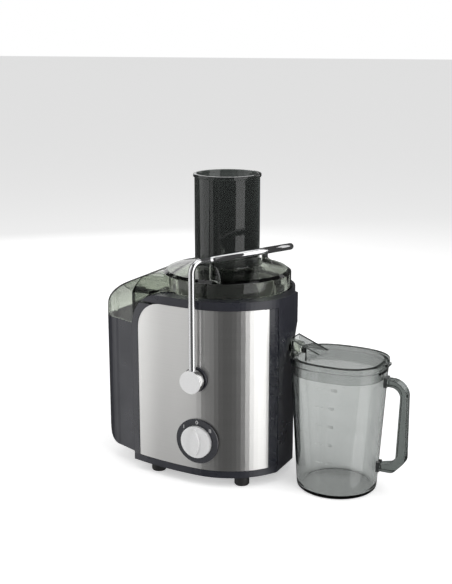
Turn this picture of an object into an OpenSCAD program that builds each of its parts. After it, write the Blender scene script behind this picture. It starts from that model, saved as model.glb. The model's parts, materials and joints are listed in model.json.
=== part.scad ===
// Centrifugal juicer, assembled with its jug standing at the spout.
// Machine frame: the feed tube's axis is vertical, +X runs to the jug, +Y to the back, Z = 0 is the table.

/* [Feed tube] */
// Overall height, to the feed tube's lip
total_h = 383; // [375:1:395]
// Inner radius of the feed tube
tube_in_r = 39; // [37:0.5:39.5]
// Wall of the feed tube
tube_wall = 2.6; // [2:0.1:3]

/* [Body] */
// Radius of the round right half of the body, seen from above
body_r = 97; // [95:1:99]
// Body's left end, measured from the feed tube's axis
body_left = 92.5; // [90:0.5:94]
// Depth of the body at its left end
left_depth = 172; // [166:1:178]
// Height of the body's top deck
deck_z = 239; // [236:1:242]
// Wall of the plastic housing
wall = 2.8; // [2:0.1:3]

/* [Dial] */
// Diameter of the dial ring
dial_d = 58; // [54:1:60]
// Diameter of the speed knob
knob_d = 41; // [38:1:43]
// Height of the dial's centre
dial_z = 58.8; // [56:0.1:62]

/* [Locking arm] */
// Height of the arm's pivot
pivot_z = 139.4; // [136:0.1:142]
// Diameter of the arm's rod
rod_d = 8.5; // [7:0.5:9]
// Distance of the rod's centre line from the middle plane
rod_y = 106; // [105:0.5:107]
// Radius of the loop that holds the cover down
loop_r = 78; // [76:1:80]

/* [Pulp container] */
// Left end of the pulp container
pulp_left = 157; // [152:1:160]
// Height of the seam between the chute and the pulp container
pulp_top = 195; // [192:1:198]

/* [Jug] */
// Radius of the jug's base
jug_base_r = 50; // [46:1:51]
// Half length of the jug's rim
jug_rim_a = 59; // [57:1:59]
// Half width of the jug's rim
jug_rim_b = 49; // [47:1:50]
// Height of the jug's rim
jug_h = 160; // [158:1:161]
// Middle of the jug from the feed tube's axis
jug_x = 162; // [162:1:164]
// Outer end of the jug's handle
handle_x = 251; // [248:1:254]

/* [Hidden] */
$fn = 72;
gap = 0.3;

// the row's origin is under the middle of the whole object
axis_x = (pulp_left - handle_x) / 2;

// body outline
cx = 5;
base_z = 12.4;
base_h = 8.6;
floor_z = base_z + base_h;
side_r = (pow(body_left + cx, 2) + pow(body_r - left_depth / 2, 2)) / (2 * (body_r - left_depth / 2));
flank_x = 91.8;
flank_r = 112.8;
lip_x = 98.8;
lip_y = -5;
rear_r = 88;
top_corner_r = 45;
ring_h = 10.5;
ring_z = deck_z - ring_h;

// bulge under the rim, which tapers to a point under the spout
bulge_r = 70;
bulge_y = -12;
bulge_z = 195;
bulge_tilt = 10;
side_seam_z = 150;

// feet
foot_spots = [[-62, -75], [55, -69], [-62, 75], [46, 64]];

// front panel
panel_t = 1;
frame_t = 3;
panel_left = -83;
panel_right = 85;
frame_right = 91.2;
frame_end_y = -41;
panel_bottom = floor_z + 0.3;
panel_corner_r = 36;

// motor
stack_h = 44;
stack_z = 66;
stator_w = 84;
stator_corner_r = 47;
coil_y = 31;
armature_r = 22;
shaft_r = 4;
fan_z = 50;

// bowl, basket and cover
bowl_r = 84;
bowl_floor_z = 172;
basket_r = 70;
basket_z = 182;
cover_r = 82.5;
drum_z = 261;
cone_z = 267;
cover_wall = 2.4;
tube_out_r = tube_in_r + tube_wall;
tube_low = basket_z + 7.5;
spout_y = -8;
spout_r = 7.5;
spout_tilt = 8;

// locking arm
arm_x = 5;
cap_y = 113;
hub_r = 14.5;
loop_tilt_x = 13.96;
loop_tilt_y = -6.16;
loop_mid_z = 275.9;
loop_sweep = 80;

// pulp container and chute
chute_top = 256;
chute_start = 65;
chute_power = 1.8;
crown_drop = 20;
crown_power = 3.5;
chute_split = -46;
seam_left = 152;
pulp_bottom = 20;
pulp_corner_r = 38;
pulp_depth = 160;
pulp_wall = 2.4;
pulp_right = -93.5;

// jug
jug_y = -15;
jug_wall = 2.6;
rim_power = 2.6;
handle_t = 8.5;
handle_w = 16;
hood_w = 26;
lid_z = jug_h + gap;
lid_t = 7.7;
hood_left = -62.6;
hood_right = -17;
hood_top = 184.6;

// knob
knob_x = 6.7;

function arc(c, r, a0, a1, n) =
    [for (i = [0:n]) c + r * [cos(a0 + (a1 - a0) * i / n), sin(a0 + (a1 - a0) * i / n)]];
function signed_power(v, e) = sign(v) * pow(abs(v), e);
// an oval with n points; a power above 2 makes it squarer
function oval(a, b, n, power = 2) =
    [for (i = [0:n - 1]) [a * signed_power(cos(360 * i / n), 2 / power), b * signed_power(sin(360 * i / n), 2 / power)]];
function mirrored(pts) = [for (i = [len(pts) - 1:-1:0]) [pts[i][0], -pts[i][1]]];

// ------------------------------------------------------------------ shared shapes

module at_axis() {
    translate([axis_x, 0, 0]) children();
}

module ring(r_out, r_in, h) {
    difference() {
        cylinder(r = r_out, h = h);
        translate([0, 0, -1]) cylinder(r = r_in, h = h + 2);
    }
}

// front wall seen from above, drawn in by inset: a long shallow curve and a round right end
function front_wall(inset, last) =
    let (big = side_r - inset, sweep = asin((cx + body_left - inset) / big))
    concat(arc([cx, side_r - body_r], big, -90 - sweep, -90, 14), arc([cx, 0], body_r - inset, -86, last, 18));

// body seen from above, with its flat right side and its round rear
module plan(inset = 0) {
    polygon(concat(front_wall(inset, -26.6),
                   [[flank_x - inset, -42], [flank_x - inset, 8 - 0.3 * inset]],
                   arc([0, 0], rear_r - inset, 14, 90, 20),
                   [[-body_left + inset, left_depth / 2 - inset]]));
}

// top rim seen from above: its right side bulges past the flat side, and ends in a lip
module rim_plan(inset = 0) {
    polygon(concat(front_wall(inset, -26),
                   arc([lip_x - flank_r, lip_y], flank_r - inset, -17.5, 0, 5),
                   [[lip_x - inset, lip_y + 5.5 - 0.5 * inset]],
                   arc([0, 0], rear_r - inset, 6 - 0.3 * inset, 90, 22),
                   [[-body_left + inset, left_depth / 2 - inset]]));
}

// body seen from the front, with its rounded top left corner
module elevation(inset, low, high) {
    rc = top_corner_r - inset;
    c = [-body_left + top_corner_r, deck_z - top_corner_r];
    polygon(concat([[150, low], [150, high]], [for (p = arc(c, rc, 90, 180, 16)) if (p[1] <= high) p],
                   [[-body_left + inset, low]]));
}

module block(inset, low, high) {
    intersection() {
        translate([0, 0, low]) linear_extrude(high - low) plan(inset);
        rotate([90, 0, 0]) translate([0, 0, -150]) linear_extrude(300) elevation(inset, low - 1, high);
    }
}

// the slice of the front wall that holds the frame and the panel
module front_zone(out = 0) {
    x = frame_right + out;
    translate([0, 0, 10]) linear_extrude(240)
        polygon([[-94, -87.5], [-83, -76.5], [60, frame_end_y], [x, frame_end_y], [x, -120], [-94, -120]]);
}

module front_skin(outer, inner, out = 0) {
    intersection() {
        difference() {
            block(outer, floor_z, ring_z);
            translate([0, 0, floor_z - 5]) linear_extrude(250) plan(inner);
        }
        front_zone(out);
    }
}

module panel_outline(d = 0) {
    rotate([90, 0, 0]) linear_extrude(130)
        polygon(concat([[panel_right - d, panel_bottom + d], [panel_right - d, ring_z - 0.2 - d]],
                       arc([panel_left + panel_corner_r, ring_z - 0.2 - panel_corner_r],
                           panel_corner_r - d, 90, 180, 16),
                       [[panel_left + d, panel_bottom + d]]));
}

module bulge(inset = 0) {
    intersection() {
        translate([0, 0, side_seam_z + 1 + inset]) linear_extrude(ring_z - side_seam_z - 1 - inset) rim_plan(inset);
        translate([lip_x - bulge_r / cos(bulge_tilt), bulge_y, bulge_z]) rotate([0, bulge_tilt, 0])
            cylinder(r = bulge_r - inset, h = 140, center = true, $fn = 180);
        translate([80, -60, 0]) cube([30, 120, 300]);
    }
}

// axis of the bowl's spout, from inside the bowl down towards the jug
module spout_axis() {
    translate([62, spout_y, 176]) rotate([0, 90 + spout_tilt, 0]) children();
}

module rod(a, b, r) {
    d = b - a;
    n = norm(d);
    translate(a) rotate([0, acos(d[2] / n), atan2(d[1], d[0])]) cylinder(r = r, h = n, $fn = 32);
}

// groove round the right side, between the bulge and the lower side panel
module side_seam() {
    translate([0, 0, side_seam_z]) linear_extrude(1) intersection() {
        difference() {
            plan(-1);
            plan(1);
        }
        translate([frame_right + 0.3, -60]) square([20, 120]);
    }
}

// ------------------------------------------------------------------ base

module base_plate() {
    at_axis() color([0.09, 0.09, 0.1]) difference() {
        union() {
            difference() {
                translate([0, 0, base_z]) linear_extrude(base_h) plan();
                translate([0, 0, base_z + 3]) linear_extrude(base_h) plan(3);
            }
            for (p = foot_spots) translate([p[0], p[1], base_z]) cylinder(r = 9, h = 8);
            for (a = [45:90:315]) rotate(a) translate([52, 0, base_z]) cylinder(r = 7, h = 12);
        }
        for (p = foot_spots) translate([p[0], p[1], base_z - 1]) cylinder(r = 1.8, h = 12, $fn = 24);
        for (a = [45:90:315]) rotate(a) translate([52, 0, base_z - 1]) cylinder(r = 2.2, h = 16, $fn = 24);
        for (i = [-3:3]) translate([-26, i * 9 - 2, base_z - 1]) cube([52, 4, 6]);
    }
}

module feet() {
    at_axis() color([0.05, 0.05, 0.05]) for (p = foot_spots) translate([p[0], p[1], 0]) difference() {
        rotate_extrude() polygon([[0, 0], [8.6, 0], [9.5, 1.4], [9.5, 7], [8.6, base_z], [0, base_z]]);
        translate([0, 0, -1]) cylinder(r = 4, h = 5, $fn = 32);
        translate([0, 0, 2]) cylinder(r = 1.9, h = 12, $fn = 24);
    }
}

module foot_screws() {
    at_axis() color([0.7, 0.7, 0.72]) for (p = foot_spots) translate([p[0], p[1], 0]) difference() {
        union() {
            translate([0, 0, 1.6]) cylinder(r = 3.4, h = 2.4, $fn = 32);
            translate([0, 0, 3.9]) cylinder(r = 1.7, h = 15, $fn = 24);
        }
        translate([-2.6, -0.4, 1]) cube([5.2, 0.8, 1.4]);
        translate([-0.4, -2.6, 1]) cube([0.8, 5.2, 1.4]);
    }
}

module cord_gland() {
    at_axis() color([0.05, 0.05, 0.05]) translate([-40, rear_r, 36]) rotate([-90, 0, 0]) difference() {
        union() {
            translate([0, 0, -7.5]) cylinder(r = 7, h = 10.5, $fn = 40);
            translate([0, 0, -0.7]) cylinder(r = 10, h = 3, $fn = 40);
            translate([0, 0, -7.5]) cylinder(r = 10, h = 3, $fn = 40);
        }
        translate([0, 0, -10]) cylinder(r = 3.6, h = 22, $fn = 32);
    }
}

// ------------------------------------------------------------------ housing

module housing() {
    at_axis() color([0.1, 0.1, 0.11]) difference() {
        union() {
            block(0, floor_z, ring_z);
            bulge();
        }
        front_skin(-1, frame_t + 0.05, 0.6);
        intersection() {
            block(wall, floor_z, ring_z);
            translate([-100, frame_end_y, 0]) cube([260, 200, 300]);
        }
        block(frame_t + wall, floor_z, ring_z);
        bulge(wall);
        translate([0, 0, floor_z - 1]) linear_extrude(20) plan(frame_t + wall);
        translate([0, 0, ring_z - 20]) linear_extrude(30) intersection() {
            plan(frame_t + wall);
            translate([-70, -150]) square([140, 300]);
        }
        translate([0, 0, bowl_floor_z]) cylinder(r = bowl_r + gap, h = 80, $fn = 120);
        side_seam();
        spout_axis() cylinder(r = spout_r + 1, h = 60, $fn = 48);
        for (s = [-1, 1]) translate([arm_x, s * 80, pivot_z]) rotate([s * -90, 0, 0])
            cylinder(r = 4.2, h = 40, $fn = 32);
        translate([knob_x, -80, dial_z]) rotate([90, 0, 0]) cylinder(r = 9, h = 40);
        translate([-40, 80, 36]) rotate([-90, 0, 0]) cylinder(r = 7.05, h = 40, $fn = 40);
        for (i = [-4:4]) translate([i * 11 + 8, 80, 110]) cube([4, 40, 60]);
    }
}

module front_frame() {
    at_axis() color([0.08, 0.08, 0.09]) difference() {
        front_skin(0, frame_t);
        panel_outline();
    }
}

module front_panel() {
    at_axis() color([0.78, 0.78, 0.77]) difference() {
        intersection() {
            front_skin(0.5, 0.5 + panel_t);
            panel_outline(0.15);
        }
        translate([knob_x, -80, dial_z]) rotate([90, 0, 0]) cylinder(r = 9, h = 40);
        translate([arm_x, -80, pivot_z]) rotate([90, 0, 0]) cylinder(r = 4.2, h = 40, $fn = 32);
    }
}

module top_ring() {
    at_axis() color([0.1, 0.1, 0.11]) difference() {
        intersection() {
            translate([0, 0, ring_z]) linear_extrude(ring_h) rim_plan();
            rotate([90, 0, 0]) translate([0, 0, -150]) linear_extrude(300) elevation(0, floor_z, deck_z);
        }
        translate([0, 0, ring_z - 1]) cylinder(r = bowl_r + gap, h = 20, $fn = 120);
        translate([0, 0, ring_z - 1]) linear_extrude(ring_h - 2) difference() {
            intersection() {
                rim_plan(wall);
                translate([-62, -150]) square([300, 300]);
            }
            circle(r = bowl_r + 3, $fn = 120);
        }
    }
}

// ------------------------------------------------------------------ controls

module front_dial() {
    translate([knob_x, -body_r + 1, dial_z]) rotate([90, 0, 0]) children();
}

module dial_ring() {
    at_axis() color([0.05, 0.05, 0.06]) difference() {
        front_dial() difference() {
            cylinder(r = dial_d / 2, h = 2.6, $fn = 96);
            translate([0, 0, -1]) cylinder(r = 8.5, h = 5);
            translate([0, 0, 1.6]) cylinder(r = knob_d / 2 + 0.4, h = 5, $fn = 96);
        }
        linear_extrude(200) plan(0.45);
    }
}

module speed_knob() {
    at_axis() color([0.8, 0.8, 0.8]) front_dial() difference() {
        union() {
            translate([0, 0, 2]) cylinder(r = knob_d / 2, h = 5, $fn = 96);
            translate([0, 0, 6.9]) intersection() {
                linear_extrude(4.1) intersection() {
                    translate([22, 0]) circle(r = 28, $fn = 96);
                    translate([-22, 0]) circle(r = 28, $fn = 96);
                }
                cylinder(r1 = 20, r2 = 18, h = 5, $fn = 96);
            }
        }
        translate([0, 0, 1]) cylinder(r = 3.05, h = 5, $fn = 32);
    }
}

module knob_stem() {
    at_axis() color([0.6, 0.6, 0.62]) front_dial() translate([0, 0, -16])
        cylinder(r = 3, h = 21.5, $fn = 32);
}

module speed_switch() {
    at_axis() color([0.75, 0.72, 0.6]) front_dial() difference() {
        union() {
            translate([-18, -16, -30]) cube([36, 32, 18]);
            translate([0, 0, -12.1]) cylinder(r = 6, h = 3, $fn = 40);
        }
        translate([0, 0, -18]) cylinder(r = 3.05, h = 12, $fn = 32);
    }
}

module control_board() {
    at_axis() color([0.1, 0.35, 0.2]) translate([-72, -62, 30]) {
        cube([36, 1.6, 50]);
        translate([6, 1.5, 8]) cube([12, 9, 12]);
        translate([20, 1.5, 26]) cube([10, 14, 16]);
    }
}

module safety_switch() {
    at_axis() color([0.15, 0.15, 0.16]) translate([-2, -88.5, 158]) {
        cube([20, 7, 14]);
        translate([8, 1.5, 13.9]) cube([4, 4, 4]);
    }
}

// a boss that stands on the wall of the plan given as its child
module pivot_boss(start) {
    difference() {
        translate([arm_x, -start, pivot_z]) rotate([90, 0, 0]) difference() {
            cylinder(r = 15.5, h = body_r + 2.6 - start, $fn = 64);
            translate([0, 0, -1]) cylinder(r = 4.1, h = 20, $fn = 32);
        }
        linear_extrude(200) children();
    }
}

module pivot_bosses() {
    at_axis() color([0.06, 0.06, 0.07]) {
        pivot_boss(body_r - 2) plan(0.45);
        mirror([0, 1, 0]) pivot_boss(rear_r - 2) mirror([0, 1]) plan();
    }
}

module pivot_pins() {
    at_axis() color([0.7, 0.7, 0.72]) for (s = [0, 1]) mirror([0, s, 0])
        translate([arm_x, -80, pivot_z]) rotate([90, 0, 0]) {
            cylinder(r = 4, h = 28, $fn = 32);
            cylinder(r = 7, h = 2.5, $fn = 6);
        }
}

// ------------------------------------------------------------------ motor

module bolt_ring(r) {
    for (a = [45:90:315]) rotate(a) translate([r, 0, 0]) children();
}

module motor_mounts() {
    at_axis() color([0.05, 0.05, 0.05]) bolt_ring(52) translate([0, 0, base_z + 12]) ring(6.5, 2.3, 12);
}

module motor_screws() {
    at_axis() color([0.7, 0.7, 0.72]) bolt_ring(52) {
        translate([0, 0, base_z + 2]) cylinder(r = 2.1, h = 30, $fn = 24);
        translate([0, 0, base_z + 31.8]) cylinder(r = 4, h = 3, $fn = 6);
    }
}

module end_bracket(z, t) {
    translate([0, 0, z]) difference() {
        union() {
            cylinder(r = 14, h = t + 8);
            for (a = [0, 90]) rotate(45 + a) translate([-60, -9, 0]) cube([120, 18, t]);
        }
        translate([0, 0, -1]) cylinder(r = shaft_r + 1.5, h = t + 12, $fn = 40);
        translate([0, 0, t]) cylinder(r = 11, h = 20, $fn = 48);
        bolt_ring(52) translate([0, 0, -1]) cylinder(r = 2.3, h = 10, $fn = 24);
    }
}

module lower_bracket() {
    at_axis() color([0.6, 0.6, 0.6]) end_bracket(base_z + 24, 4);
}

module upper_bracket() {
    at_axis() color([0.6, 0.6, 0.6]) {
        end_bracket(stack_z + stack_h + 18, 4);
        bolt_ring(52) translate([0, 0, base_z + 34.8]) {
            cylinder(r = 4.5, h = stack_z + stack_h - base_z - 16.8, $fn = 32);
        }
    }
}

module bearing(z) {
    translate([0, 0, z]) difference() {
        cylinder(r = 11, h = 7, $fn = 48);
        translate([0, 0, -1]) cylinder(r = shaft_r + 0.05, h = 9, $fn = 48);
        for (s = [-1, 6.4]) translate([0, 0, s]) ring(9.2, 6, 1.6);
    }
}

module lower_bearing() {
    at_axis() color([0.75, 0.75, 0.77]) bearing(base_z + 28);
}

module upper_bearing() {
    at_axis() color([0.75, 0.75, 0.77]) bearing(stack_z + stack_h + 22);
}

module stator_core() {
    at_axis() color([0.35, 0.35, 0.37]) translate([0, 0, stack_z]) linear_extrude(stack_h) difference() {
        intersection() {
            square(stator_w, center = true);
            circle(r = stator_corner_r, $fn = 96);
        }
        circle(r = armature_r + 0.8, $fn = 96);
        for (s = [-1, 1]) translate([0, s * coil_y]) square([52, 14], center = true);
        for (s = [-1, 1]) translate([s * 23, 0]) square([10, 30], center = true);
    }
}

module field_coils() {
    at_axis() color([0.72, 0.4, 0.15]) for (s = [-1, 1]) translate([0, s * coil_y, stack_z - 5]) difference() {
        translate([-25, -5, 0]) cube([50, 10, stack_h + 10]);
        translate([-19, -6, 5]) cube([38, 12, stack_h]);
    }
}

module brush_holders() {
    at_axis() color([0.75, 0.6, 0.25]) for (s = [-1, 1]) translate([s * 27, 0, 121]) difference() {
        translate([-10, -5, -5]) cube([20, 10, 10]);
        translate([-11, -3.2, -3.2]) cube([22, 6.4, 6.4]);
    }
}

module carbon_brushes() {
    at_axis() color([0.12, 0.12, 0.12]) for (s = [-1, 1]) translate([s * 21.2, 0, 121])
        translate([-7, -3, -3]) cube([14, 6, 6]);
}

module brush_springs() {
    at_axis() color([0.7, 0.7, 0.72]) for (s = [-1, 1]) translate([s * 28.4, 0, 121]) rotate([0, s * 90, 0])
        for (i = [0:3]) translate([0, 0, i * 2.1]) ring(2.6, 1.8, 0.9);
}

// ------------------------------------------------------------------ spinning parts

module motor_shaft() {
    at_axis() color([0.8, 0.8, 0.82]) translate([0, 0, 38]) cylinder(r = shaft_r, h = basket_z - 38, $fn = 48);
}

module on_shaft(z, h, r) {
    translate([0, 0, z]) ring(r, shaft_r, h);
}

module armature_core() {
    at_axis() color([0.4, 0.4, 0.42]) translate([0, 0, stack_z]) linear_extrude(stack_h) difference() {
        circle(r = armature_r, $fn = 96);
        circle(r = shaft_r, $fn = 48);
        for (a = [0:30:359]) rotate(a) translate([armature_r - 6, -1.5]) square([8, 3]);
    }
}

module armature_winding() {
    at_axis() color([0.72, 0.4, 0.15]) {
        on_shaft(stack_z - 7, 7, armature_r - 3);
        on_shaft(stack_z + stack_h, 4.5, armature_r - 3);
    }
}

module commutator() {
    at_axis() color([0.75, 0.45, 0.25]) translate([0, 0, 115]) linear_extrude(12) difference() {
        circle(r = 13.8, $fn = 72);
        circle(r = shaft_r, $fn = 48);
        for (a = [0:30:359]) rotate(a) translate([12.6, -0.4]) square([3, 0.8]);
    }
}

module cooling_fan() {
    at_axis() color([0.85, 0.85, 0.82]) {
        on_shaft(fan_z, 7, 8);
        on_shaft(fan_z, 1.5, 33);
        for (a = [0:30:359]) rotate(a) translate([7.5, -0.8, fan_z + 1.4]) cube([25, 1.6, 6]);
    }
}

module drive_coupling() {
    at_axis() color([0.85, 0.83, 0.75]) difference() {
        union() {
            on_shaft(158, 6, 12);
            translate([0, 0, 164]) for (a = [0:60:359]) rotate(a) translate([-1.5, 5, 0]) cube([3, 7, 12]);
            on_shaft(163.9, 12.1, 8);
        }
        translate([0, 0, 150]) cylinder(r = shaft_r, h = 40, $fn = 48);
    }
}

module basket_base() {
    at_axis() color([0.85, 0.85, 0.82]) difference() {
        union() {
            translate([0, 0, 170]) cylinder(r = 16, h = 12.4);
            translate([0, 0, basket_z]) cylinder(r = 50, h = 3);
        }
        translate([0, 0, 165]) cylinder(r = 12.3, h = 11.2);
        translate([0, 0, 165]) cylinder(r = shaft_r, h = 17, $fn = 48);
    }
}

module grater_disc() {
    at_axis() color([0.8, 0.8, 0.8]) translate([0, 0, basket_z + 3]) difference() {
        union() {
            cylinder(r = 46, h = 1);
            for (ray = [0:11]) rotate(ray * 30) for (k = [1:5])
                translate([6 + k * 7, k * 1.2, 0.9]) cylinder(r1 = 1.6, r2 = 0.5, h = 1.4, $fn = 16);
        }
        for (a = [0:120:359]) rotate(a) translate([10, 0, -1]) cylinder(r = 1.6, h = 3, $fn = 24);
    }
}

module sieve() {
    at_axis() color([0.78, 0.78, 0.76]) difference() {
        rotate_extrude($fn = 96) polygon([[49, basket_z + 3], [50, basket_z + 3],
                                         [basket_r - 1, 228], [basket_r - 2, 228]]);
        for (a = [0:15:359]) for (k = [0:3]) rotate(a + k * 7.5)
            translate([54 + k * 4, 0, basket_z + 11 + k * 9]) rotate([0, 60, 0]) cube([3, 5, 14], center = true);
    }
}

module basket_rim() {
    at_axis() color([0.85, 0.85, 0.82]) rotate_extrude($fn = 96)
        polygon([[basket_r - 3, 228], [basket_r, 228], [basket_r + 5, 232], [basket_r + 5, 234.5],
                 [basket_r - 3, 234.5]]);
}

// ------------------------------------------------------------------ bowl and cover

module juice_bowl() {
    at_axis() color([0.3, 0.32, 0.31, 0.9]) difference() {
        union() {
            rotate_extrude($fn = 120) polygon([[20, bowl_floor_z], [62, bowl_floor_z - 6], [bowl_r, 186],
                                              [bowl_r, deck_z + 0.2], [bowl_r - 2.4, deck_z + 0.2],
                                              [bowl_r - 2.4, 187], [61, bowl_floor_z - 3.4],
                                              [22.4, bowl_floor_z + 2.4], [22.4, 178], [20, 178]]);
            spout_axis() cylinder(r = spout_r, h = 47, $fn = 48);
        }
        spout_axis() translate([0, 0, -4]) cylinder(r = spout_r - 1.5, h = 80, $fn = 48);
        difference() {
            translate([-120, -120, bowl_floor_z + 10]) cube([80, 240, 80]);
            block(0, 20, deck_z + 0.25);
        }
    }
}

module shaft_seal() {
    at_axis() color([0.1, 0.1, 0.1]) translate([0, 0, 176]) ring(19.8, 17, 3);
}

// chute seen from the front: one long curve that turns down over the pulp container
function chute_arc(left, top, n) =
    [for (i = [0:n]) [-chute_start - (left - chute_start) * pow(sin(90 * i / n), 2 / chute_power),
                      pulp_top + (top - pulp_top) * pow(cos(90 * i / n), 2 / chute_power)]];

module chute_side(d) {
    translate([0, 0, -150]) linear_extrude(300)
        polygon(concat([[0, 150], [0, chute_top - d]], chute_arc(seam_left - d, chute_top - d, 18),
                       [[-seam_left + d, 150]]));
}

// chute seen from the end: its top drops away towards the front and the back
module crown(d) {
    half = pulp_depth / 2 + 3;
    rotate([90, 0, 90]) translate([0, 0, -200]) linear_extrude(200)
        polygon(concat([[half, 150], [half, 200]],
                       [for (i = [10:-1:-10]) [half * i / 10,
                                               chute_top - d - crown_drop * pow(abs(half * i / 10) * 2 / pulp_depth, crown_power)]],
                       [[-half, 200], [-half, 150]]));
}

// pulp container seen from above
module pulp_plan(d = 0) {
    y = pulp_depth / 2;
    c = [-pulp_left + pulp_corner_r, -y + 11.5 + pulp_corner_r];
    front = concat([[pulp_right - d, -y + d]], arc(c, pulp_corner_r - d, 262, 180, 12));
    polygon(concat(front, mirrored(front)));
}

// a fin with a round right edge, scaled from a quarter of a disc
module quarter_disc(h, w, t) {
    linear_extrude(t) polygon(concat([[0, 0]], [for (i = [0:12]) [w * sin(90 * i / 12), h * cos(90 * i / 12)]]));
}

module cover_shell() {
    difference() {
        union() {
            translate([0, 0, deck_z + 0.3]) linear_extrude(drum_z - 4 - deck_z) circle(r = cover_r, $fn = 144);
            intersection() {
                translate([0, 0, deck_z + 0.3]) linear_extrude(drum_z - 4 - deck_z)
                    translate([-66, -cover_r]) square([66, 2 * cover_r]);
                crown(0);
            }
            translate([0, 0, drum_z - 4]) cylinder(r1 = cover_r, r2 = cover_r - 5, h = 4, $fn = 144);
            translate([0, 0, drum_z - 0.01]) cylinder(r1 = cover_r - 5, r2 = tube_out_r + 2, h = cone_z - drum_z,
                                                      $fn = 144);
            intersection() {
                translate([0, 0, pulp_top + 0.3]) linear_extrude(90) union() {
                    pulp_plan();
                    translate([pulp_right - 1, -pulp_depth / 2]) square([95, pulp_depth]);
                }
                rotate([90, 0, 0]) chute_side(0);
                crown(0);
                difference() {
                    translate([-200, -150, 150]) cube([200, 300, 150]);
                    block(-0.3, 20, deck_z + 0.3);
                }
            }
            translate([0, 0, cone_z]) ring(tube_out_r + 3, tube_out_r + 0.05, 2.5);
        }
        translate([0, 0, bowl_floor_z]) cylinder(r = cover_r - cover_wall, h = drum_z - 4 - bowl_floor_z, $fn = 144);
        translate([0, 0, drum_z - 4.1]) cylinder(r1 = cover_r - 4, r2 = tube_out_r, h = 8, $fn = 144);
        translate([0, 0, deck_z - 1]) cylinder(r = tube_out_r + 0.05, h = 60, $fn = 96);
        intersection() {
            translate([-80, -cover_r + cover_wall + 8, deck_z - 1])
                cube([80, 2 * (cover_r - cover_wall - 8), chute_top - cover_wall - deck_z + 1]);
            crown(cover_wall);
        }
        intersection() {
            translate([0, 0, pulp_top - 1]) linear_extrude(90) union() {
                pulp_plan(cover_wall);
                translate([pulp_right - 1, -pulp_depth / 2 + 10]) square([60, pulp_depth - 20]);
            }
            rotate([90, 0, 0]) chute_side(cover_wall);
            crown(cover_wall);
            difference() {
                translate([-200, -150, 150]) cube([160, 300, 150]);
                block(-0.3 - cover_wall, 20, deck_z + 2.7);
            }
        }
    }
}

// drum over the basket, up to the feed tube's collar
module cover() {
    at_axis() color([0.45, 0.47, 0.45, 0.6]) difference() {
        cover_shell();
        translate([-250, -150, 150]) cube([250 + chute_split, 300, 200]);
    }
}

// left end of the same moulding, from the drum to the pulp container
module pulp_chute() {
    at_axis() color([0.45, 0.47, 0.45, 0.6]) intersection() {
        cover_shell();
        translate([-250, -150, 150]) cube([250 + chute_split, 300, 200]);
    }
}

// stops on the cover that the locking arm rests against
module cover_tabs() {
    at_axis() color([0.45, 0.47, 0.45, 0.6]) difference() {
        union() {
            translate([14, -73.5, drum_z - 4]) rotate([90, 0, 0]) quarter_disc(25, 14, 3);
            translate([35.4, 31, drum_z - 2]) rotate([90, 0, 0]) quarter_disc(16, 16, 3);
        }
        translate([0, 0, drum_z - 4]) cylinder(r1 = cover_r, r2 = cover_r - 5, h = 4, $fn = 144);
        translate([0, 0, drum_z - 0.01]) cylinder(r1 = cover_r - 5, r2 = tube_out_r + 2, h = cone_z - drum_z,
                                                  $fn = 144);
    }
}

module feed_tube() {
    at_axis() color([0.12, 0.13, 0.13, 0.9]) difference() {
        union() {
            translate([0, 0, tube_low]) cylinder(r = tube_out_r, h = total_h - tube_low - 2, $fn = 120);
            translate([0, 0, total_h - 4]) cylinder(r = tube_out_r + 1.6, h = 4, $fn = 120);
        }
        translate([0, 0, tube_low - 1]) cylinder(r = tube_in_r, h = total_h, $fn = 120);
    }
}

// ------------------------------------------------------------------ locking arm

// a point on the tilted loop, at an angle from the direction of the jug
function loop_point(a) =
    let (x = loop_r * cos(a) * cos(loop_tilt_x), y = loop_r * sin(a), z = loop_r * cos(a) * sin(loop_tilt_x))
    [arm_x + x, y * cos(loop_tilt_y) - z * sin(loop_tilt_y),
     loop_mid_z + y * sin(loop_tilt_y) + z * cos(loop_tilt_y)];

module arm_rod() {
    r = rod_d / 2;
    at_axis() color([0.85, 0.85, 0.87]) {
        for (s = [-1, 1]) {
            kink = loop_point(s * loop_sweep);
            top = [arm_x, s * rod_y, loop_mid_z + s * rod_y * tan(loop_tilt_y)];
            rod([arm_x, s * rod_y, pivot_z + 5], top, r);
            rod(top, kink, r);
            for (p = [top, kink]) translate(p) sphere(r = r + 0.15, $fn = 32);
        }
        translate([arm_x, 0, loop_mid_z]) rotate([loop_tilt_y, 0, 0]) rotate([0, -loop_tilt_x, 0])
            rotate([0, 0, -loop_sweep]) rotate_extrude(angle = 2 * loop_sweep, $fn = 144)
                translate([loop_r, 0]) circle(r = r, $fn = 32);
    }
}

module arm_hubs() {
    at_axis() color([0.82, 0.82, 0.84]) for (s = [0, 1]) mirror([0, s, 0])
        translate([arm_x, -body_r - 3, pivot_z]) rotate([90, 0, 0]) difference() {
            cylinder(r = hub_r, h = 12, $fn = 64);
            translate([0, 0, -1]) cylinder(r = 4.05, h = 10, $fn = 48);
            translate([0, 4.9, rod_y - body_r - 3]) rotate([-90, 0, 0]) cylinder(r = rod_d / 2, h = 20, $fn = 32);
        }
}

module arm_caps() {
    at_axis() color([0.85, 0.85, 0.85]) for (s = [0, 1]) mirror([0, s, 0])
        translate([arm_x, -body_r - 15, pivot_z]) rotate([90, 0, 0]) rotate_extrude($fn = 64)
            polygon([[0, 0], [hub_r, 0], [hub_r, 0.4], [hub_r - 0.6, cap_y - body_r - 15], [0, cap_y - body_r - 15]]);
}

// ------------------------------------------------------------------ pulp container

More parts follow.
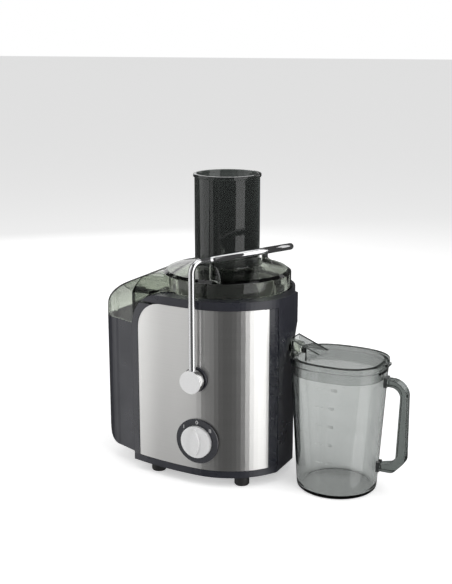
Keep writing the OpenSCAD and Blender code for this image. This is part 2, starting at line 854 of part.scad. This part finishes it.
module pulp_container() {
    at_axis() color([0.1, 0.1, 0.11]) difference() {
        intersection() {
            translate([0, 0, pulp_bottom]) linear_extrude(pulp_top - pulp_bottom) pulp_plan();
            rotate([90, 0, 0]) translate([0, 0, -150]) linear_extrude(300)
                polygon(concat([[-90, pulp_bottom]], arc([-pulp_left + 32, pulp_bottom + 26], 26, 270, 180, 10),
                               [[-pulp_left, 100], [-seam_left, pulp_top], [-90, pulp_top]]));
        }
        translate([0, 0, pulp_bottom + 2.4]) intersection() {
            linear_extrude(200) difference() {
                pulp_plan(pulp_wall);
                translate([pulp_right - pulp_wall, -100]) square([20, 200]);
            }
            rotate([90, 0, 0]) translate([0, 0, -150]) linear_extrude(300)
                polygon(concat([[-90, 0]], arc([-pulp_left + 32, 24], 23, 270, 180, 10),
                               [[-pulp_left + 3, 100], [-seam_left + 3, 180], [-90, 180]]));
        }
    }
}

// ------------------------------------------------------------------ jug

module at_jug() {
    at_axis() translate([jug_x, jug_y, 0]) children();
}

// jug's outline at a height: a circle at the base that turns into the oval rim
module jug_slice(z, d) {
    t = z / jug_h;
    translate([0, 0, z]) linear_extrude(0.01)
        polygon(oval(jug_base_r + t * (jug_rim_a - jug_base_r) - d, jug_base_r + t * (jug_rim_b - jug_base_r) - d,
                     72, 2 + t * (rim_power - 2)));
}

module jug_body() {
    at_jug() color([0.55, 0.58, 0.56, 0.5]) difference() {
        hull() {
            jug_slice(0, 1.5);
            jug_slice(2, 0);
            jug_slice(jug_h - 0.01, 0);
        }
        hull() {
            jug_slice(3, jug_wall + 2);
            jug_slice(6, jug_wall);
            jug_slice(jug_h + 5, jug_wall);
        }
    }
}

// a flat strap: a wide bend at the top, and a short slope back to the jug at the bottom
module jug_handle() {
    right = handle_x - jug_x;
    t = handle_t;
    bend = [right - 21, 128];
    at_jug() color([0.4, 0.43, 0.42, 0.7]) translate([0, handle_w / 2, 0]) rotate([90, 0, 0]) linear_extrude(handle_w)
        polygon(concat([[63, 148.5]], arc(bend, 20.5, 90, 4, 12), arc([right - 10, 50], 10, 0, -45, 5),
                       arc([right - 19, 40], 10, -45, -90, 5), [[57, 30]],
                       [[57, 30 + t]], arc([right - 19 - t * 0.3, 40 + t * 0.7], 5, -90, -45, 4),
                       arc([right - 10 - t * 0.8, 50 + t * 0.2], 5, -45, 0, 4),
                       arc(bend, 20.5 - t, 4, 90, 10), [[63, 148.5 - t]]));
}

module handle_clips() {
    at_jug() color([0.12, 0.13, 0.13]) {
        translate([58.7, -7, 138]) cube([4.2, 14, 12.5]);
        translate([52.7, -7, 28]) cube([4.2, 14, 12.5]);
    }
}

// raised hood of the jug's lid, over the machine's spout
module hood_side(d) {
    rotate([90, 0, 0]) translate([0, 0, d - hood_w / 2]) linear_extrude(hood_w - 2 * d)
        polygon([[hood_left - d, lid_z + lid_t - 2.2 - d], [hood_left - d, hood_top - d],
                 [hood_right - d, lid_z + lid_t - 2.2 - d]]);
}

module jug_lid() {
    hood_y = spout_y - jug_y;
    at_jug() color([0.5, 0.53, 0.51, 0.6]) difference() {
        union() {
            translate([0, 0, lid_z]) linear_extrude(lid_t) polygon(oval(jug_rim_a + 1, jug_rim_b + 1, 96, rim_power));
            translate([0, 0, lid_z - 13]) linear_extrude(13.1)
                polygon(oval(jug_rim_a - jug_wall - 1, jug_rim_b - jug_wall - 1, 96, rim_power));
            translate([jug_rim_a - 1, -7, lid_z + 4]) cube([6, 14, 3]);
            translate([0, hood_y, 0]) hood_side(0);
        }
        translate([0, 0, lid_z - 14]) linear_extrude(14 + lid_t - 2.2)
            polygon(oval(jug_rim_a - jug_wall - 3.2, jug_rim_b - jug_wall - 3.2, 96, rim_power));
        translate([-80, hood_y - hood_w / 2 + 2, lid_z - 20]) cube([50, hood_w - 4, 24]);
        translate([0, hood_y, 0]) hood_side(2);
        translate([-70, hood_y - hood_w / 2 + 2, lid_z + 3]) cube([25, hood_w - 4, 6]);
    }
}

// ------------------------------------------------------------------ drawing

base_plate();
feet();
foot_screws();
housing();
front_frame();
front_panel();
top_ring();
dial_ring();
speed_switch();
control_board();
safety_switch();
cord_gland();
motor_mounts();
motor_screws();
lower_bracket();
upper_bracket();
stator_core();
field_coils();
lower_bearing();
upper_bearing();
brush_holders();
carbon_brushes();
brush_springs();
pivot_bosses();
pivot_pins();
juice_bowl();
shaft_seal();
cover();
pulp_chute();
cover_tabs();
feed_tube();
motor_shaft();
armature_core();
armature_winding();
commutator();
cooling_fan();
drive_coupling();
basket_base();
sieve();
grater_disc();
basket_rim();
arm_rod();
arm_hubs();
arm_caps();
speed_knob();
knob_stem();
pulp_container();
jug_body();
jug_handle();
handle_clips();
jug_lid();
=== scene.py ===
import json
import math

import bmesh
import bpy
from mathutils import Matrix, Vector


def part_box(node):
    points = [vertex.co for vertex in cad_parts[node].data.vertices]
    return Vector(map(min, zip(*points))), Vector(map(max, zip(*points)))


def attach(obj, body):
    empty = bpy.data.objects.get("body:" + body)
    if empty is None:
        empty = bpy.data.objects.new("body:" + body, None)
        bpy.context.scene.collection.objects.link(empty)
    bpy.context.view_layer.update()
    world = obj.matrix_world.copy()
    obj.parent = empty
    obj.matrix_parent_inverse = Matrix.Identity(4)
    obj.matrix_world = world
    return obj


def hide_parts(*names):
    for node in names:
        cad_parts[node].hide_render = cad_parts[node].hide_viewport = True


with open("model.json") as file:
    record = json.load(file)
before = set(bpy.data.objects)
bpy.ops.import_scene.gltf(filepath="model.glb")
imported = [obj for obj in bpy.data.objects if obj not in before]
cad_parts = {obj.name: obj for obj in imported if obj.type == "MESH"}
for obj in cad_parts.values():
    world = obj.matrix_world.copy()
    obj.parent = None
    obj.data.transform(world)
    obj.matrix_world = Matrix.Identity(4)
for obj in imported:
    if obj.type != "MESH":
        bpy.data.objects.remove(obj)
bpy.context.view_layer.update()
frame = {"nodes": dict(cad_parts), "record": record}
nodes = frame["nodes"]
MM = 0.001

# ---------------------------------------------------------------- places taken from the frame

tube_low, tube_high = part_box("feed_tube")
AXIS = Vector(((tube_low[0] + tube_high[0]) / 2, 0, 0))     # the feed tube's vertical axis


def at(x, y, z):
    """A point in metres from millimetres, measured from the feed tube's axis on the table."""
    return AXIS + Vector((x, y, z)) * MM


# ---------------------------------------------------------------- camera

CAMERA_PLACE = (580, -1167, 545)
CAMERA_AZIMUTH = math.radians(26.5)
CAMERA_PITCH = math.radians(13.65)
LENS = 63.8
SENSOR_WIDTH = 36

camera_data = bpy.data.cameras.new("camera")
camera_data.lens = LENS
camera_data.sensor_width = SENSOR_WIDTH
camera = bpy.data.objects.new("camera", camera_data)
camera.location = at(*CAMERA_PLACE)
camera.rotation_euler = (math.pi / 2 - CAMERA_PITCH, 0, CAMERA_AZIMUTH)
bpy.context.collection.objects.link(camera)
scene = bpy.context.scene
scene.camera = camera
scene.view_settings.view_transform = "Standard"
scene.view_settings.look = "None"

# ---------------------------------------------------------------- backdrop and light

SEEN_BACKDROP = 1.0       # what the lens sees, straight or through clear plastic
ROOM_LIGHT = 0.34         # what falls on the object from the rest of the room
ROOM_MIRRORED = 0.07      # the dark room that polished parts mirror


def studio_world():
    """A white room that polished parts see as dark."""
    world = bpy.data.worlds.new("studio")
    world.use_nodes = True
    tree = world.node_tree
    path = tree.nodes.new("ShaderNodeLightPath")
    room = tree.nodes.new("ShaderNodeMapRange")
    room.inputs["To Min"].default_value = ROOM_LIGHT
    room.inputs["To Max"].default_value = ROOM_MIRRORED
    tree.links.new(path.outputs["Is Glossy Ray"], room.inputs["Value"])
    straight = tree.nodes.new("ShaderNodeMath")
    straight.operation = "MAXIMUM"
    tree.links.new(path.outputs["Is Camera Ray"], straight.inputs[0])
    tree.links.new(path.outputs["Is Transmission Ray"], straight.inputs[1])
    seen = tree.nodes.new("ShaderNodeMapRange")
    tree.links.new(straight.outputs[0], seen.inputs["Value"])
    tree.links.new(room.outputs[0], seen.inputs["To Min"])
    seen.inputs["To Max"].default_value = SEEN_BACKDROP
    background = tree.nodes["Background"]
    background.inputs[0].default_value = (1, 1, 1, 1)
    tree.links.new(seen.outputs[0], background.inputs[1])
    return world


scene.world = studio_world()


def softbox(name, azimuth, height, distance, width, tall, radiance, target=(0, 0, 150)):
    """A soft light turned to the object, at an angle from straight in front.

    Lengths are in millimetres; radiance is how bright its face is.
    """
    turn = math.radians(azimuth)
    place = at(distance * math.sin(turn), -distance * math.cos(turn), height)
    data = bpy.data.lights.new(name, "AREA")
    data.shape = "RECTANGLE"
    data.size = width * MM
    data.size_y = tall * MM
    data.energy = radiance * math.pi * data.size * data.size_y
    light = bpy.data.objects.new(name, data)
    light.location = place
    light.rotation_euler = (at(*target) - place).to_track_quat("-Z", "Y").to_euler()
    bpy.context.collection.objects.link(light)
    light.visible_camera = False
    light.visible_transmission = False


softbox("left_wide", -64, 420, 1400, 1000, 2400, 1.15)
softbox("left_fill", -31, 420, 1500, 620, 2400, 0.78)
softbox("middle_fill", -4, 420, 1500, 420, 2400, 0.22)
softbox("right_strip", 73, 420, 1300, 1050, 2400, 1.9)
softbox("rear_left", -140, 700, 1500, 900, 1000, 1.0)
softbox("rear_right", 150, 700, 1500, 900, 1000, 0.9)
softbox("overhead", 0, 1500, 60, 1300, 1100, 1.25, target=(0, 0, 0))


# ---------------------------------------------------------------- materials

COAT_ROUGHNESS = 0.12
RADIAL_BRUSHING = 0.25    # turns: marks run round the vertical axis, reflections up and down
SMOKE_GREY = (0.32, 0.345, 0.33)


def new_material(name):
    material = bpy.data.materials.new(name)
    material.use_nodes = True
    return material, material.node_tree, material.node_tree.nodes["Principled BSDF"]


def link(tree, a, out, b, into):
    tree.links.new(a.outputs[out], b.inputs[into])


def noise(tree, scale, detail=3.0, stretch=(1, 1, 1)):
    """Noise over the object's own coordinates, stretched along the axes."""
    place = tree.nodes.new("ShaderNodeTexCoord")
    mapping = tree.nodes.new("ShaderNodeMapping")
    mapping.inputs["Scale"].default_value = stretch
    texture = tree.nodes.new("ShaderNodeTexNoise")
    texture.inputs["Scale"].default_value = scale
    texture.inputs["Detail"].default_value = detail
    link(tree, place, "Object", mapping, "Vector")
    link(tree, mapping, "Vector", texture, "Vector")
    return texture


def spread(tree, texture, low, high, start=0.3, end=0.7):
    """Maps a texture's value to low..high."""
    span = tree.nodes.new("ShaderNodeMapRange")
    span.inputs["From Min"].default_value = start
    span.inputs["From Max"].default_value = end
    span.inputs["To Min"].default_value = low
    span.inputs["To Max"].default_value = high
    link(tree, texture, 0, span, "Value")
    return span


def tint(tree, texture, dark, light):
    """A colour that wanders between dark and light with a texture."""
    ramp = tree.nodes.new("ShaderNodeValToRGB")
    ramp.color_ramp.elements[0].position = 0.3
    ramp.color_ramp.elements[1].position = 0.7
    ramp.color_ramp.elements[0].color = (*dark, 1)
    ramp.color_ramp.elements[1].color = (*light, 1)
    link(tree, texture, 0, ramp, "Fac")
    return ramp


def bump(tree, shader, texture, strength, distance):
    """Raises the surface by a texture; distance is in metres."""
    node = tree.nodes.new("ShaderNodeBump")
    node.inputs["Strength"].default_value = strength
    node.inputs["Distance"].default_value = distance
    link(tree, texture, 0, node, "Height")
    link(tree, node, "Normal", shader, "Normal")


def plastic(name, dark, light, rough, grain=900, strength=0.12, coat=0.0):
    """Moulded plastic with a fine spark-eroded grain and slightly uneven gloss."""
    material, tree, shader = new_material(name)
    link(tree, tint(tree, noise(tree, 40), dark, light), "Color", shader, "Base Color")
    link(tree, spread(tree, noise(tree, 25), rough - 0.05, rough + 0.06), 0, shader, "Roughness")
    bump(tree, shader, noise(tree, grain, 2), strength, 0.0002)
    shader.inputs["Coat Weight"].default_value = coat
    shader.inputs["Coat Roughness"].default_value = COAT_ROUGHNESS
    shader.inputs["Specular IOR Level"].default_value = 0.5
    return material


def smoke(name, colour, density=70.0, rough=0.03, transmission=1.0, ior=1.45):
    """Tinted clear plastic, a little uneven from the mould, and darker where it is thicker."""
    material, tree, shader = new_material(name)
    shader.inputs["Transmission Weight"].default_value = transmission
    shader.inputs["IOR"].default_value = ior
    shade = tint(tree, noise(tree, 30), [c * 0.96 for c in colour], colour)
    link(tree, shade, "Color", shader, "Base Color")
    link(tree, spread(tree, noise(tree, 60), rough, rough + 0.04), 0, shader, "Roughness")
    bump(tree, shader, noise(tree, 55, 1), 0.04, 0.0004)
    tinted = tree.nodes.new("ShaderNodeVolumeAbsorption")
    tinted.inputs["Color"].default_value = (*SMOKE_GREY, 1)
    tinted.inputs["Density"].default_value = density
    link(tree, tinted, 0, tree.nodes["Material Output"], "Volume")
    return material


def metal(name, dark, light, rough, anisotropy=0.0, stretch=(1, 1, 1), scale=600, strength=0.1,
          body=1.0):
    """Metal with fine marks; stretch draws them out along an axis, and body is how metallic it is."""
    material, tree, shader = new_material(name)
    marks = noise(tree, scale, 4, stretch)
    shader.inputs["Metallic"].default_value = body
    shader.inputs["Anisotropic"].default_value = anisotropy
    link(tree, tint(tree, marks, dark, light), "Color", shader, "Base Color")
    link(tree, spread(tree, marks, rough - 0.04, rough + 0.06), 0, shader, "Roughness")
    bump(tree, shader, marks, strength, 0.0001)
    if anisotropy:
        shader.inputs["Anisotropic Rotation"].default_value = RADIAL_BRUSHING
        tangent = tree.nodes.new("ShaderNodeTangent")
        tangent.direction_type = "RADIAL"
        tangent.axis = "Z"
        link(tree, tangent, 0, shader, "Tangent")
    return material


MATERIALS = {
    "black_plastic": plastic("black_plastic", (0.018, 0.019, 0.026), (0.023, 0.024, 0.032), 0.30),
    "frame_plastic": plastic("frame_plastic", (0.015, 0.016, 0.022), (0.019, 0.020, 0.027),
                             0.24, coat=0.2),
    "panel_steel": metal("panel_steel", (0.77, 0.765, 0.75), (0.81, 0.805, 0.79),
                         0.36, 0.6, (0.02, 0.02, 6), 420, 0.01),
    "smoke_plastic": smoke("smoke_plastic", (0.74, 0.77, 0.71), 65),
    "dark_smoke": smoke("dark_smoke", (0.09, 0.10, 0.095), 90, transmission=0.85),
    "jug_smoke": smoke("jug_smoke", (0.80, 0.81, 0.805), 120),
    "handle_smoke": smoke("handle_smoke", (0.45, 0.48, 0.47), 120),
    "clip_plastic": plastic("clip_plastic", (0.03, 0.033, 0.032), (0.04, 0.043, 0.042),
                            0.2, coat=0.4),
    "polished_chrome": metal("polished_chrome", (0.66, 0.66, 0.67), (0.70, 0.70, 0.71),
                             0.09, strength=0.02),
    "satin_cap": metal("satin_cap", (0.84, 0.84, 0.84), (0.88, 0.88, 0.88),
                       0.4, strength=0.05, body=0.45),
    "foot_rubber": plastic("foot_rubber", (0.015, 0.015, 0.016), (0.022, 0.022, 0.024),
                           0.6, 500, 0.3),
    "plain_steel": metal("plain_steel", (0.5, 0.5, 0.51), (0.64, 0.64, 0.65), 0.25),
    "basket_steel": metal("basket_steel", (0.6, 0.6, 0.6), (0.7, 0.7, 0.7), 0.28),
    "basket_plastic": plastic("basket_plastic", (0.62, 0.62, 0.58), (0.68, 0.67, 0.64), 0.4),
    "motor_bracket_metal": metal("motor_bracket_metal", (0.45, 0.45, 0.45), (0.58, 0.58, 0.58),
                                 0.5, scale=250, strength=0.4),
    "lamination": metal("lamination", (0.18, 0.18, 0.19), (0.3, 0.3, 0.32),
                        0.45, stretch=(0.05, 0.05, 12), scale=200, strength=0.5),
    "copper_winding": metal("copper_winding", (0.5, 0.2, 0.08), (0.72, 0.34, 0.16),
                            0.3, stretch=(1, 1, 8), scale=260, strength=0.6),
    "brush_brass": metal("brush_brass", (0.62, 0.46, 0.2), (0.74, 0.58, 0.3), 0.3),
    "carbon": plastic("carbon", (0.02, 0.02, 0.02), (0.04, 0.04, 0.04), 0.5, 1500, 0.2),
    "switch_plastic": plastic("switch_plastic", (0.09, 0.09, 0.085), (0.12, 0.12, 0.11), 0.45),
    "dial_print": plastic("dial_print", (0.5, 0.5, 0.5), (0.56, 0.56, 0.56), 0.5),
    "jug_print": plastic("jug_print", (0.42, 0.44, 0.43), (0.47, 0.49, 0.48), 0.5),
    "board": plastic("board", (0.02, 0.12, 0.06), (0.03, 0.17, 0.09), 0.3, coat=0.5),
}

# ---------------------------------------------------------------- floor

FLOOR_REACH = 30.0       # metres from the middle to each edge
FLOOR_DROP = 0.3         # millimetres under the feet
FLOOR_GREY = 0.93
FLOOR_GLOW = 0.45        # keeps the floor pale where the softboxes don't reach


def pale_floor():
    """A plain pale floor just under the feet."""
    bm = bmesh.new()
    bmesh.ops.create_grid(bm, x_segments=1, y_segments=1, size=FLOOR_REACH)
    mesh = bpy.data.meshes.new("floor")
    bm.to_mesh(mesh)
    bm.free()
    material, tree, shader = new_material("pale_floor")
    shader.inputs["Base Color"].default_value = (FLOOR_GREY, FLOOR_GREY, FLOOR_GREY, 1)
    shader.inputs["Roughness"].default_value = 0.9
    shader.inputs["Emission Color"].default_value = (1, 1, 1, 1)
    shader.inputs["Emission Strength"].default_value = FLOOR_GLOW
    mesh.materials.append(material)
    floor = bpy.data.objects.new("floor", mesh)
    floor.location.z = -FLOOR_DROP * MM
    floor.visible_glossy = False     # polished parts mirror the studio, not the floor
    bpy.context.collection.objects.link(floor)


pale_floor()

# ---------------------------------------------------------------- CAD nodes that stay

SLOTS = {part["node"]: part["material_slot"] for part in frame["record"]["subparts"]}
WELD_DISTANCE = 0.00001
BEVEL_SEGMENTS = 3
SHARP_EDGE = math.radians(40)
BEVELS = {
    "front_frame": 0.5, "top_ring": 1.0, "housing": 0.6, "base_plate": 1.0, "dial_ring": 0.5,
    "speed_knob": 0.7, "arm_hubs": 0.6, "arm_caps": 0.3, "pulp_container": 0.8, "jug_handle": 1.6,
    "handle_clips": 0.8, "cover": 0.7, "pulp_chute": 0.7, "cover_tabs": 0.5, "feed_tube": 0.6,
    "pivot_bosses": 0.5, "jug_lid": 0.5,
}

for name, thing in nodes.items():
    thing.data.materials.clear()
    thing.data.materials.append(MATERIALS[SLOTS[name]])
    if name in BEVELS:
        weld = thing.modifiers.new("weld", "WELD")
        weld.merge_threshold = WELD_DISTANCE
        edge = thing.modifiers.new("edges", "BEVEL")
        edge.width = BEVELS[name] * MM
        edge.segments = BEVEL_SEGMENTS
        edge.limit_method = "ANGLE"
        edge.angle_limit = SHARP_EDGE
        edge.harden_normals = True

# ---------------------------------------------------------------- mesh helpers


def new_piece(name, bm, material, body, smooth_angle=35):
    """Turns a bmesh into a piece that rides on a body, smooth except at sharp edges."""
    bmesh.ops.recalc_face_normals(bm, faces=bm.faces)
    limit = math.radians(smooth_angle)
    for edge in bm.edges:
        edge.smooth = len(edge.link_faces) == 2 and edge.calc_face_angle(0) < limit
    for face in bm.faces:
        face.smooth = True
    mesh = bpy.data.meshes.new(name)
    bm.to_mesh(mesh)
    bm.free()
    mesh.materials.append(MATERIALS[material])
    piece = bpy.data.objects.new(name, mesh)
    bpy.context.collection.objects.link(piece)
    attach(piece, body)
    return piece


def skin(bm, rings, closed=False):
    """Joins rings of the same number of points; open ends are capped unless closed."""
    loops = [[bm.verts.new(p) for p in ring] for ring in rings]
    pairs = list(zip(loops, loops[1:]))
    if closed:
        pairs.append((loops[-1], loops[0]))
    count = len(loops[0])
    for a, b in pairs:
        for i in range(count):
            j = (i + 1) % count
            bm.faces.new((a[i], a[j], b[j], b[i]))
    if not closed:
        bm.faces.new(reversed(loops[0]))
        bm.faces.new(loops[-1])


def rounded_path(points, radii, steps=8):
    """A polyline with each inner corner rounded to its radius."""
    path = [points[0]]
    for before, corner, after, radius in zip(points, points[1:], points[2:], radii):
        a = (before - corner).normalized()
        b = (after - corner).normalized()
        half = a.angle(b) / 2
        reach = radius / math.tan(half)
        start = corner + a * reach
        end = corner + b * reach
        middle = corner + (a + b).normalized() * (radius / math.sin(half))
        for i in range(steps + 1):
            direction = (start - middle).lerp(end - middle, i / steps).normalized()
            path.append(middle + direction * radius)
    path.append(points[-1])
    return path


def swept_tube(name, path, radius, material, body, sides=24):
    """A round bar along a path, with a frame carried along so that it doesn't twist."""
    bm = bmesh.new()
    rings = []
    side = None
    for i, point in enumerate(path):
        ahead = (path[min(i + 1, len(path) - 1)] - path[max(i - 1, 0)]).normalized()
        if side is None:
            side = ahead.orthogonal().normalized()
        side = (side - ahead * side.dot(ahead)).normalized()
        up = ahead.cross(side)
        rings.append([point + (side * math.cos(a) + up * math.sin(a)) * radius
                      for a in (2 * math.pi * k / sides for k in range(sides))])
    skin(bm, rings)
    return new_piece(name, bm, material, body)


def extruded(bm, outline, depth, place):
    """A prism: place turns an outline point and a height into a point in space."""
    skin(bm, [[place(u, v, h) for u, v in outline] for h in (0, depth)])


# ---------------------------------------------------------------- locking arm

ROD_R = 4.25
LOOP_R = 78
LOOP_MID = Vector((5, 0, 275.9))
LOOP_SLOPE_X = 0.2486
LOOP_SLOPE_Y = -0.108
ROD_Y = 106
PIVOT_Z = 139.4
HUB_DEPTH = 5             # how far above the pivot the bar leaves its hub
TOP_BEND = 0.013
JOIN_BEND = 0.012         # where a leg runs into the loop
LOOP_BEND = 0.05


def on_loop(x, y):
    """A point of the loop's tilted plane, over a place in plan."""
    return at(x, y, LOOP_MID.z + LOOP_SLOPE_X * (x - LOOP_MID.x) + LOOP_SLOPE_Y * y)


def loop_point(degrees):
    """A point of the round loop; the stretch undoes its slope."""
    angle = math.radians(degrees)
    stretch = math.hypot(1, LOOP_SLOPE_X)
    return on_loop(LOOP_MID.x + LOOP_R * math.cos(angle) / stretch, LOOP_R * math.sin(angle))


arm_points = [at(LOOP_MID.x, -ROD_Y, PIVOT_Z + HUB_DEPTH), on_loop(LOOP_MID.x, -ROD_Y)]
arm_points += [loop_point(a) for a in range(-80, 81, 4)]
arm_points += [on_loop(LOOP_MID.x, ROD_Y), at(LOOP_MID.x, ROD_Y, PIVOT_Z + HUB_DEPTH)]
arm_radii = [LOOP_BEND] * (len(arm_points) - 6)
arm_radii = [TOP_BEND, JOIN_BEND] + arm_radii + [JOIN_BEND, TOP_BEND]
arm_path = rounded_path(arm_points, arm_radii)
arm = swept_tube("locking_arm_bar", arm_path, ROD_R * MM, "polished_chrome", "locking_arm")
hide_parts("arm_rod")

# ---------------------------------------------------------------- dial marks

ring_low, ring_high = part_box("dial_ring")
DIAL = Vector(((ring_low[0] + ring_high[0]) / 2, ring_low[1], (ring_low[2] + ring_high[2]) / 2))
MARK_R = 24.8
MARK_DEPTH = 0.1
MARK_PROUD = 0.05
MARK_TURN = 48            # degrees from the top to each speed


def dial_mark(name, outlines, degrees):
    """A printed mark on the dial ring, upright, at an angle clockwise from the top."""
    angle = math.radians(degrees)
    middle = DIAL + Vector((math.sin(angle), 0, math.cos(angle))) * MARK_R * MM
    bm = bmesh.new()
    for outline in outlines:
        extruded(bm, outline, MARK_DEPTH, lambda u, v, h: middle + Vector((u, MARK_PROUD - h, v)) * MM)
    return new_piece(name, bm, "dial_print", "machine")


def bar(x, width=0.8, height=4.6):
    """An upright stroke at x."""
    left, right = x - width / 2, x + width / 2
    return [(left, -height / 2), (right, -height / 2), (right, height / 2), (left, height / 2)]


def zero_halves(a=1.7, b=2.4, line=0.75):
    """The figure 0 as two half rings."""
    halves = []
    for start in (90, 270):
        turn = [math.radians(start + 15 * i) for i in range(13)]
        outer = [(a * math.cos(t), b * math.sin(t)) for t in turn]
        inner = [((a - line) * math.cos(t), (b - line) * math.sin(t)) for t in reversed(turn)]
        halves.append(outer + inner)
    return halves


dial_mark("dial_mark_low", [bar(0)], -MARK_TURN)
dial_mark("dial_mark_off", zero_halves(), 0)
dial_mark("dial_mark_high", [bar(-1), bar(1)], MARK_TURN)

# ---------------------------------------------------------------- jug

jug_low, jug_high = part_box("jug_body")
JUG = Vector(((jug_low[0] + jug_high[0]) / 2, (jug_low[1] + jug_high[1]) / 2, 0))
JUG_BASE_R = 50
JUG_RIM_A = 59
JUG_RIM_B = 49
JUG_H = 160
JUG_WALL = 2.6
RIM_POWER = 2.6


def signed_power(value, exponent):
    """A power that keeps its base's sign."""
    return math.copysign(abs(value) ** exponent, value)


def oval_point(degrees, a, b, power):
    """A point of an oval; a power above 2 makes it squarer."""
    angle = math.radians(degrees)
    return a * signed_power(math.cos(angle), 2 / power), b * signed_power(math.sin(angle), 2 / power)


def jug_section(z):
    """The jug's half widths and its oval's power at a height."""
    t = z / JUG_H
    a = JUG_BASE_R + t * (JUG_RIM_A - JUG_BASE_R)
    b = JUG_BASE_R + t * (JUG_RIM_B - JUG_BASE_R)
    return a, b, 2 + t * (RIM_POWER - 2)


def jug_point(degrees, z, inset=0.0):
    """A point of the jug's wall at an angle and a height, drawn in by inset."""
    a, b, power = jug_section(z)
    x, y = oval_point(degrees, a - inset, b - inset, power)
    return JUG + Vector((x, y, z)) * MM


def jug_ring(z, inset, count=96):
    """A level ring of the jug's wall."""
    return [jug_point(360 * i / count, z, inset) for i in range(count)]


bm = bmesh.new()
outside = [(0.6, 12), (0.0, 7), (0.0, 3.2), (0.5, 1.5), (1.6, 0.4), (3.2, 0)]
outside += [(10 + 12 * i, 0) for i in range(13)]
rim = [(159.2, 0.0), (159.9, 0.5), (160.0, 1.3), (159.9, 2.1), (159.2, JUG_WALL)]
inside = [(154 - 12 * i, JUG_WALL) for i in range(13)]
inside += [(6.5, JUG_WALL), (4.4, JUG_WALL + 1), (3.4, JUG_WALL + 3), (3.2, 12)]
skin(bm, [jug_ring(z, inset) for z, inset in outside + rim + inside])
jug = new_piece("jug_shell", bm, "jug_smoke", "jug")
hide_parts("jug_body")


def wall_y(x, z):
    """Where the jug's front wall stands at a place across it and a height, in metres."""
    a, b, power = jug_section(z / MM)
    across = abs((x - JUG.x) / MM / a)
    return JUG.y - b * MM * (1 - across ** power) ** (1 / power)


GRADUATIONS = [(300, 46.5), (500, 70), (700, 93.5), (900, 117), (1100, 140)]
DASH_FROM = -99           # degrees round the jug
DASH_TO = -91
DASH_HALF = 0.45
DASH_PROUD = 0.02
PRINT_DEPTH = 0.12
NUMBER_FROM = -88
NUMBER_DROP = 2
NUMBER_PROUD = 0.08
NUMBER_SIZE = 5.6
NUMBER_TURN = math.radians(3)


def graduation(volume, height):
    """A printed dash and its number on the jug's front wall."""
    bm = bmesh.new()
    dash = [(DASH_FROM, -DASH_HALF), (DASH_TO, -DASH_HALF), (DASH_TO, DASH_HALF), (DASH_FROM, DASH_HALF)]
    skin(bm, [[jug_point(u, height + v, -DASH_PROUD - h) for u, v in dash] for h in (0, PRINT_DEPTH)])
    new_piece("jug_dash_%d" % volume, bm, "jug_print", "jug")
    label = bpy.data.curves.new("jug_number_%d" % volume, "FONT")
    label.body = str(volume)
    label.size = NUMBER_SIZE * MM
    label.extrude = PRINT_DEPTH / 2 * MM
    number = bpy.data.objects.new("jug_number_%d" % volume, label)
    spot = jug_point(NUMBER_FROM, height - NUMBER_DROP, -NUMBER_PROUD)
    upright = Matrix.Rotation(NUMBER_TURN, 4, "Z") @ Matrix.Rotation(math.pi / 2, 4, "X")
    number.matrix_world = Matrix.Translation(spot) @ upright
    bpy.context.collection.objects.link(number)
    bpy.context.view_layer.update()
    shape = bpy.data.meshes.new_from_object(number)
    shape.transform(number.matrix_world)
    bpy.data.objects.remove(number)
    bm = bmesh.new()
    bm.from_mesh(shape)
    for vert in bm.verts:
        vert.co.y += wall_y(vert.co.x, vert.co.z) - wall_y(spot.x, vert.co.z)
    new_piece("jug_number_%d" % volume, bm, "jug_print", "jug")


for volume, height in GRADUATIONS:
    graduation(volume, height)
